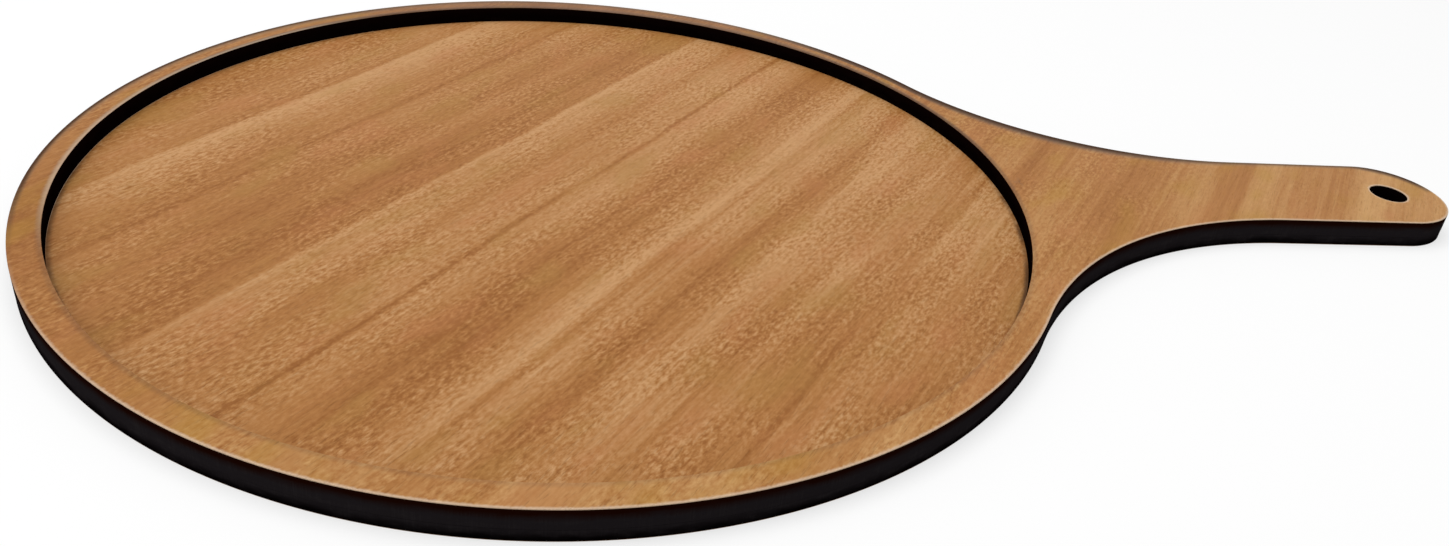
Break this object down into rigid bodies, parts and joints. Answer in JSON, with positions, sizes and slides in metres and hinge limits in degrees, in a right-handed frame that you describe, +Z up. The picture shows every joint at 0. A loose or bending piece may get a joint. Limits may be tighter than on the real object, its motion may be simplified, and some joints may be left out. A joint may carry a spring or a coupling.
{
  "type": "pizza serving board",
  "caption": "Round wooden serving board with a shallow dish, a narrow raised rim and a tapering paddle handle that ends in a full round with a hanging hole.",
  "frame": {"origin": "centre of the round disc, on the flat face that the board rests on", "axes": "+X from the disc's centre along the handle to the hanging hole, +Z up out of the dish, +Y across the board"},
  "size_m": [0.448, 0.3, 0.009],
  "materials": {
    "veneer": "satin, fine-pored light brown veneer with a soft diagonal grain",
    "charred_core": "dark fibreboard, its cut edge charred matt black",
    "adhesive": "thin dried film, charred black where it meets the edge"
  },
  "bodies": {
    "root": {"base_back_veneer": "veneer", "base_core": "charred_core", "base_face_veneer": "veneer", "glue_film": "adhesive", "frame_back_veneer": "veneer", "frame_core": "charred_core", "frame_face_veneer": "veneer"}
  },
  "joints": []
}
